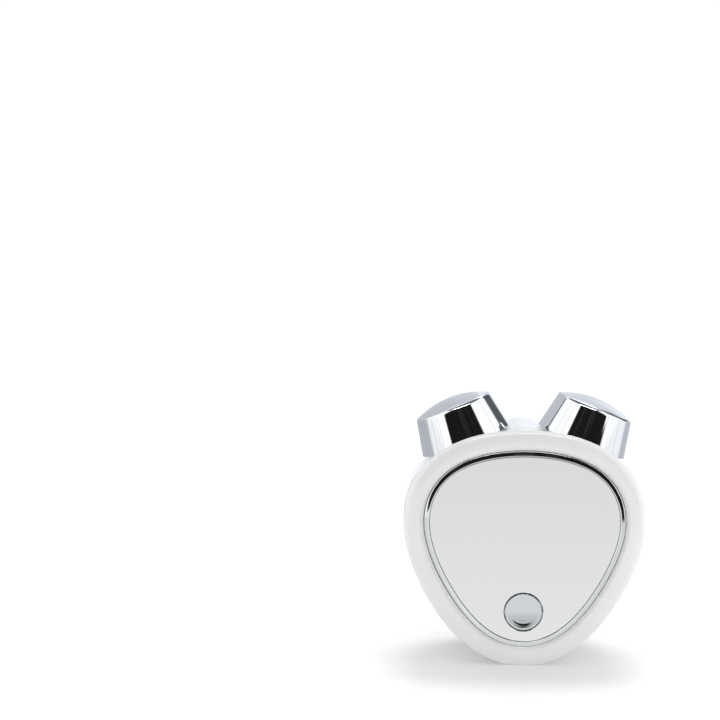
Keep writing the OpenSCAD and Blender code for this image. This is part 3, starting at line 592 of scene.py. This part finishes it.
def plate_mesh():
    """The mirror plate, with ground edges outside and round the button's hole."""
    f, b = sizes("face"), sizes("button")
    inset = sizes("casing").rim_w + f.ring_w + f.plate_gap
    hole = b.cap_d / 2 + f.hole_gap
    steps = 120
    turns = [2 * math.pi * i / steps for i in range(steps)]
    rounds = [[(radius * math.sin(turn), radius * math.cos(turn) - b.drop) for turn in turns]
              for radius in (hole, hole + f.plate_bevel)]
    loops = [(face_loop(inset + f.plate_bevel), 0), (face_loop(inset), -f.plate_bevel),
             (face_loop(inset), -f.plate_t)]
    holes = [(rounds[1], 0), (rounds[0], -f.plate_bevel), (rounds[0], -f.plate_t)]
    work = bmesh.new()
    made = [[work.verts.new((*p, depth)) for p in points] for points, depth in loops + holes]
    for first, second in ((0, 1), (1, 2), (3, 4), (4, 5)):
        count = len(made[first])
        for i in range(count):
            j = (i + 1) % count
            work.faces.new((made[first][i], made[first][j], made[second][j], made[second][i]))
    for outer, inner in ((0, 3), (2, 5)):
        edges = [work.edges.get((ring[i], ring[(i + 1) % len(ring)]))
                 for ring in (made[outer], made[inner]) for i in range(len(ring))]
        bmesh.ops.triangle_fill(work, edges=edges, use_beauty=True)
    mesh = bpy.data.meshes.new("mirror_plate")
    work.to_mesh(mesh)
    work.free()
    return mesh


# ---------------------------------------------------------------- operators

class TONING_OT_casing(bpy.types.Operator):
    """Makes the white front and rear casing"""

    bl_idname = "toning.casing"
    bl_label = "Casing"

    def execute(self, context):
        for name, node in (("front_casing", "front_shell"), ("rear_casing", "rear_shell")):
            half = smooth_copy(name, node, "white_shell", sharp=33)
            settle(half, "casing", node)
        return {"FINISHED"}


class TONING_OT_face(bpy.types.Operator):
    """Makes the chrome ring and the mirror plate"""

    bl_idname = "toning.face"
    bl_label = "Ring and plate"

    def execute(self, context):
        section = ring_section()
        inner = section[0][0]
        # The outline runs clockwise, so it is turned round for the sweep
        ring = swept("chrome_ring", face_loop(inner)[::-1],
                     [(inner - w, -d) for w, d in section], "ring_chrome", face_place(),
                     sharp=50)
        settle(ring, "casing", "bezel_ring")
        plate = placed("mirror_plate", plate_mesh(), "plate_mirror", face_place(), sharp=20)
        settle(plate, "casing", "face_plate")
        return {"FINISHED"}


class TONING_OT_button(bpy.types.Operator):
    """Makes the dished power button"""

    bl_idname = "toning.button"
    bl_label = "Power button"

    def execute(self, context):
        place = Matrix.Translation((0, 0, -sizes("button").drop)) @ face_place()
        cap = turned("button_cap", button_section(), "button_chrome", place)
        settle(cap, "button", "power_button")
        return {"FINISHED"}


class TONING_OT_rollers(bpy.types.Operator):
    """Makes the two chromed rollers"""

    bl_idname = "toning.rollers"
    bl_label = "Rollers"

    def execute(self, context):
        for side, word in ((-1, "left"), (1, "right")):
            head = turned(word + "_head", roller_section(), "roller_chrome",
                          roller_place(side), sharp=40)
            settle(head, "roller_" + word, word + "_roller")
        return {"FINISHED"}


class TONING_OT_insides(bpy.types.Operator):
    """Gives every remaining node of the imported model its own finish"""

    bl_idname = "toning.insides"
    bl_label = "Bearings, board, cell and leads"

    def execute(self, context):
        slots = {part["node"]: part["material_slot"] for part in frame["record"]["subparts"]}
        for name, node in frame["nodes"].items():
            if node.hide_render:
                continue
            node.data.materials.clear()
            node.data.materials.append(finish_of(slots[name]))
        return {"FINISHED"}


class TONING_OT_stage(bpy.types.Operator):
    """Makes the pale floor, the soft surround, the lamps and the camera"""

    bl_idname = "toning.stage"
    bl_label = "Stage"

    def execute(self, context):
        make_camera()
        make_floor()
        make_surround()
        make_lamps()
        make_world()
        context.scene.view_settings.view_transform = "Standard"
        return {"FINISHED"}


# ---------------------------------------------------------------- stage

# The point that the camera is set by, in millimetres in the part's frame, how far right of and
# below the middle of the picture it lies at its distance, and the camera's turns in degrees
AIM = (0, -16.5, 29.87)
AIM_RIGHT, AIM_DOWN = 36.62, 39.14
TURNS = (("Z", 0.5), ("X", 8.44), ("Y", 0.6))


def make_camera():
    """A long lens at the photograph's angle, a little above and to the left."""
    s = sizes("stage")
    turn = Matrix.Identity(3)
    for axis, angle in TURNS:
        turn = turn @ Matrix.Rotation(math.radians(angle), 3, axis)
    # The rows are the camera's directions to the right, down and forward
    rows = turn @ Matrix(((1, 0, 0), (0, 0, -1), (0, 1, 0)))
    shift = Vector((AIM_RIGHT * MM, AIM_DOWN * MM, s.distance))
    place = Vector(AIM) * MM - rows.transposed() @ shift
    axes = Matrix((rows[0], -rows[1], -rows[2])).transposed()
    data = bpy.data.cameras.new("Camera")
    data.sensor_width = 36
    data.lens = s.lens
    camera = linked("Camera", data)
    camera.matrix_world = Matrix.Translation(place) @ axes.to_4x4()
    bpy.context.scene.camera = camera


def staged(name, mesh, finish):
    """An object of the stage, which isn't part of the device."""
    mesh.materials.append(finish)
    made = linked(name, mesh)
    return made


def looked_at(tree):
    """1 for what the camera or a mirror sees, and 0 for the light that falls on things."""
    rays = add(tree, "ShaderNodeLightPath")
    return add(tree, "ShaderNodeMath",
               {0: rays.outputs["Is Camera Ray"], 1: rays.outputs["Is Glossy Ray"]},
               operation="MAXIMUM").outputs[0]


# How much the floor's look is lifted: from and to, in metres from the device's axis, and the
# lift there. The lift is smallest near the device, so painted shade darkens the floor round
# it, darkest under the foot
FLOOR_LIFTS_AND_PAINTED_SHADE = (
    (0.012, 0.045, 0.09, 0.32),     # least in the shadow under the foot
    (0.05, 0.7, 0.0, 0.3),          # and up to white further off
)


def make_floor():
    """The plain pale floor, lifted to white for the camera, keeping the shadow, with painted
    shade round the foot where it is lifted less.
    """
    s = sizes("stage")
    half = s.floor / 2
    mesh = bpy.data.meshes.new("floor")
    mesh.from_pydata([(-half, -half, 0), (half, -half, 0), (half, half, 0), (-half, half, 0)],
                     [], [(0, 1, 2, 3)])
    made = bpy.data.materials.new("Plain pale floor")
    tree = bare_tree(made)
    place = add(tree, "ShaderNodeTexCoord").outputs["Object"]
    away = add(tree, "ShaderNodeVectorMath", {0: place}, operation="LENGTH").outputs["Value"]
    # The first range is painted shade: the floor is lifted least close round the foot
    near, far = [add(tree, "ShaderNodeMapRange",
                     {"Value": away, "From Min": first, "From Max": last,
                      "To Min": low, "To Max": high})
                 for first, last, low, high in FLOOR_LIFTS_AND_PAINTED_SHADE]
    total = add(tree, "ShaderNodeMath", {0: near.outputs["Result"], 1: far.outputs["Result"]},
                operation="ADD")
    lift = add(tree, "ShaderNodeMath", {0: looked_at(tree), 1: total.outputs[0]},
               operation="MULTIPLY")
    matt = add(tree, "ShaderNodeBsdfDiffuse", {"Color": (*s.tint, 1)})
    glow = add(tree, "ShaderNodeEmission", {"Strength": lift.outputs[0]})
    both = add(tree, "ShaderNodeAddShader", {0: matt.outputs[0], 1: glow.outputs[0]})
    add(tree, "ShaderNodeOutputMaterial", {"Surface": both.outputs[0]})
    floor = staged("floor", mesh, made)
    floor.visible_glossy = False        # the surround's lower half is what polish sees


def zone(tree, value, low, high, soft):
    """1 where a socket lies between two values, and 0 beyond them, with soft edges."""
    up = add(tree, "ShaderNodeMapRange",
             {"Value": value, "From Min": low - soft, "From Max": low + soft},
             interpolation_type="SMOOTHSTEP")
    down = add(tree, "ShaderNodeMapRange",
               {"Value": value, "From Min": high - soft, "From Max": high + soft,
                "To Min": 1, "To Max": 0}, interpolation_type="SMOOTHSTEP")
    return add(tree, "ShaderNodeMath", {0: up.outputs["Result"], 1: down.outputs["Result"]},
               operation="MULTIPLY").outputs[0]


# What the polished pieces see round them: from and to, in degrees to the right of the
# camera and above the horizon, the brightness there, how soft the edge is, and how far
# the height falls for each degree to the side
PANELS = (
    (-180, 180, -90, -9, 0.84, 2.5, 0),     # the pale floor
    (-104, -60, -24, -5, 1.14, 3, 0),       # white beside it on the left
    (60, 112, -24, -5, 1.14, 3, 0),         # and on the right
    (-32, 32, -90, 4, 0.84, 6, 0),          # the floor towards the camera
    (-32, 32, -42, -10, 1.07, 8, 0),        # its lit part
    (-24, 24, 3, 30, 0.46, 5, 0),           # grey over the floor's edge
    (-22, 22, 6.3, 30, 0.27, 0.8, 0),       # and darker above it
    (-180, -94, -90, 2, 0.6, 5, 0),         # grey behind on the left, low
    (-180, -108, -2, 47, 0.7, 8, 0),        # grey behind on the left
    (-180, -168, 0, 47, 0.78, 6, 0),        # and straight behind
    (146, 180, -90, 47, 0.88, 8, 0),        # lighter behind on the right
    (150, 164, -4, 24, 1.08, 6, 0),         # and its lit part
    (116, 150, -90, 2, 0.66, 6, 0),         # grey beside it, low
    (110, 148, 4, 46, 0.13, 4, 0),          # dark beside it, high
    (-180, -164, -14, 5, 1.2, 1.6, 0),      # the bright back edge of the floor
    (164, 180, -14, 5, 1.2, 1.6, 0),
    (150, 180, 41, 56, 2.2, 3, 0),          # a soft lamp behind on the right
    (-112, -108, 12, 44, 0.05, 1.2, 0),     # a dark frame edge on the left
    (-38, 42, 15.5, 46, 0.012, 1.6, 0.62),  # the dark opening that the camera looks through
    (-14, 14, 7.8, 46, 0.012, 0.6, 0),      # and the dark just over the grey
    (36, 46, -11, 5, 0.012, 1.6, 0),        # the opening's foot on the right
    (-40, 47, 22, 55, 0.012, 1.6, 0),       # the dark screen above it
    (-180, 180, 56, 100, 0.16, 3, 0),       # the dim ceiling
    (-45, 45, 56, 64, 7.0, 1.5, 0),         # a long lamp over the camera
)
# Fine upright lines over the panels: from and to, as above, their brightness and their weight
STREAKS = (
    (-92, -46, -20, 40, 0.7, 0.5),          # grey on the left
    (46, 92, -20, 40, 0.75, 0.5),           # and on the right
    (-28, 28, 18, 40, 0.045, 0.7),          # nearly black in the opening
)
SURROUND_LEVEL = 1.32                       # its brightness where no panel lies
SURROUND_MIDDLE = 0.045                     # the height of its middle, in metres
COLD_WHITE = "#F3F7FF"                      # its colour behind the device


def make_surround():
    """A soft tent that only reflections see: white, with a dark opening round the camera."""
    s = sizes("stage")
    work = bmesh.new()
    bmesh.ops.create_uvsphere(work, u_segments=64, v_segments=32, radius=s.surround)
    mesh = bpy.data.meshes.new("surround")
    work.to_mesh(mesh)
    work.free()
    made = bpy.data.materials.new("Soft surround")
    tree = bare_tree(made)
    place = add(tree, "ShaderNodeTexCoord").outputs["Object"]
    # Degrees to the right of the camera, and degrees above the horizon
    parts = add(tree, "ShaderNodeSeparateXYZ", {0: place})
    back = add(tree, "ShaderNodeMath", {0: parts.outputs["Y"], 1: -1.0}, operation="MULTIPLY")
    across = add(tree, "ShaderNodeMath", {0: parts.outputs["X"], 1: back.outputs[0]},
                 operation="ARCTAN2")
    azimuth = add(tree, "ShaderNodeMath", {0: across.outputs[0]},
                  operation="DEGREES").outputs[0]
    share = add(tree, "ShaderNodeMath", {0: parts.outputs["Z"], 1: s.surround},
                operation="DIVIDE")
    rise = add(tree, "ShaderNodeMath", {0: share.outputs[0]}, operation="ARCSINE")
    height = add(tree, "ShaderNodeMath", {0: rise.outputs[0]}, operation="DEGREES").outputs[0]
    aside = add(tree, "ShaderNodeMath", {0: azimuth}, operation="ABSOLUTE").outputs[0]
    # Each panel in turn is laid over those before it
    level = SURROUND_LEVEL
    for left, right, low, high, value, soft, fall in PANELS:
        tilted = add(tree, "ShaderNodeMath", {0: aside, 1: fall, 2: height},
                     operation="MULTIPLY_ADD").outputs[0]
        here = add(tree, "ShaderNodeMath",
                   {0: zone(tree, azimuth, left, right, soft),
                    1: zone(tree, tilted, low, high, soft)}, operation="MULTIPLY")
        level = add(tree, "ShaderNodeMix", {"Factor": here.outputs[0], "A": level, "B": value},
                    data_type="FLOAT").outputs["Result"]
    # Lines some degrees wide, from the upper part of a noise that runs round with the azimuth
    stripes = add(tree, "ShaderNodeTexNoise", {"W": azimuth, "Scale": 0.16, "Detail": 3.0},
                  noise_dimensions="1D")
    crisp = add(tree, "ShaderNodeMapRange",
                {"Value": stripes.outputs["Fac"], "From Min": 0.52, "From Max": 0.6},
                interpolation_type="SMOOTHSTEP")
    for left, right, low, high, value, weight in STREAKS:
        here = add(tree, "ShaderNodeMath",
                   {0: zone(tree, azimuth, left, right, soft=3),
                    1: zone(tree, height, low, high, soft=4)}, operation="MULTIPLY")
        lines = add(tree, "ShaderNodeMath", {0: here.outputs[0], 1: crisp.outputs["Result"]},
                    operation="MULTIPLY")
        some = add(tree, "ShaderNodeMath", {0: lines.outputs[0], 1: weight},
                   operation="MULTIPLY")
        level = add(tree, "ShaderNodeMix", {"Factor": some.outputs[0], "A": level, "B": value},
                    data_type="FLOAT").outputs["Result"]
    behind = add(tree, "ShaderNodeMapRange",
                 {"Value": parts.outputs["Y"], "From Min": 0, "From Max": s.surround / 2})
    tone = add(tree, "ShaderNodeMix",
               {"Factor": behind.outputs["Result"], "A": (1, 1, 1, 1),
                "B": (*linear(COLD_WHITE), 1)}, data_type="RGBA")
    glow = add(tree, "ShaderNodeEmission",
               {"Color": tone.outputs["Result"], "Strength": level})
    add(tree, "ShaderNodeOutputMaterial", {"Surface": glow.outputs[0]})
    tent = staged("surround", mesh, made)
    tent.location = (0, 0, SURROUND_MIDDLE)
    tent.visible_camera = False
    tent.visible_diffuse = False
    tent.visible_shadow = False
    tent.visible_volume_scatter = False


# The point that the lamps face, in metres above the floor
LAMP_AIM = 0.035
# Soft boxes: degrees to the right and up, distance and side in metres, watts
LAMPS = (
    ("Left soft box", -76, 6, 0.8, 0.42, 2.8),
    ("Right soft box", 76, 6, 0.8, 0.42, 3.7),
    ("Rear soft box", 170, 67, 0.8, 0.36, 2.6),
    ("Front fill", 6, 3, 0.8, 0.4, 1.1),
)


def make_lamps():
    """Square soft boxes round the device, which neither the camera nor a mirror sees."""
    aim = Vector((0, 0, LAMP_AIM))
    for name, azimuth, height, distance, side, watts in LAMPS:
        a, e = math.radians(azimuth), math.radians(height)
        away = Vector((math.sin(a) * math.cos(e), -math.cos(a) * math.cos(e), math.sin(e)))
        data = bpy.data.lights.new(name, "AREA")
        data.size = side
        data.energy = watts
        lamp = linked(name, data)
        lamp.matrix_world = (Matrix.Translation(aim + away * distance)
                             @ away.to_track_quat("Z", "Y").to_matrix().to_4x4())
        lamp.visible_camera = False
        lamp.visible_glossy = False


def make_world():
    """A plain soft light from all round, which the camera and mirrors see as white."""
    world = bpy.data.worlds.new("Plain soft light")
    tree = bare_tree(world)
    level = add(tree, "ShaderNodeMix",
                {"Factor": looked_at(tree), "A": sizes("stage").world, "B": 1.0},
                data_type="FLOAT")
    plain = add(tree, "ShaderNodeBackground",
                {"Color": (1, 1, 1, 1), "Strength": level.outputs["Result"]})
    add(tree, "ShaderNodeOutputWorld", {"Surface": plain.outputs[0]})
    bpy.context.scene.world = world


# ---------------------------------------------------------------- panel and run

OPERATORS = (TONING_OT_casing, TONING_OT_face, TONING_OT_button, TONING_OT_rollers,
             TONING_OT_insides, TONING_OT_stage)


class TONING_PT_panel(bpy.types.Panel):
    """Lists the pieces and the stage"""

    bl_idname = "TONING_PT_panel"
    bl_label = "Facial toning device"
    bl_space_type = "VIEW_3D"
    bl_region_type = "UI"
    bl_category = "Toning"

    def draw(self, context):
        for operator in OPERATORS:
            self.layout.operator(operator.bl_idname)
        for name, group in GROUPS.items():
            column = self.layout.column(align=True)
            for key in group.__annotations__:
                column.prop(sizes(name), key)


def register():
    for cls in (*GROUPS.values(), *OPERATORS, TONING_PT_panel):
        bpy.utils.register_class(cls)
    for name, group in GROUPS.items():
        setattr(bpy.types.Scene, "toning_" + name, PointerProperty(type=group))


def unregister():
    for name in GROUPS:
        delattr(bpy.types.Scene, "toning_" + name)
    for cls in (TONING_PT_panel, *reversed(OPERATORS), *reversed(GROUPS.values())):
        bpy.utils.unregister_class(cls)


def main():
    register()
    bpy.ops.toning.stage()
    bpy.ops.toning.casing()
    bpy.ops.toning.face()
    bpy.ops.toning.button()
    bpy.ops.toning.rollers()
    bpy.ops.toning.insides()


if __name__ == "__main__":
    main()
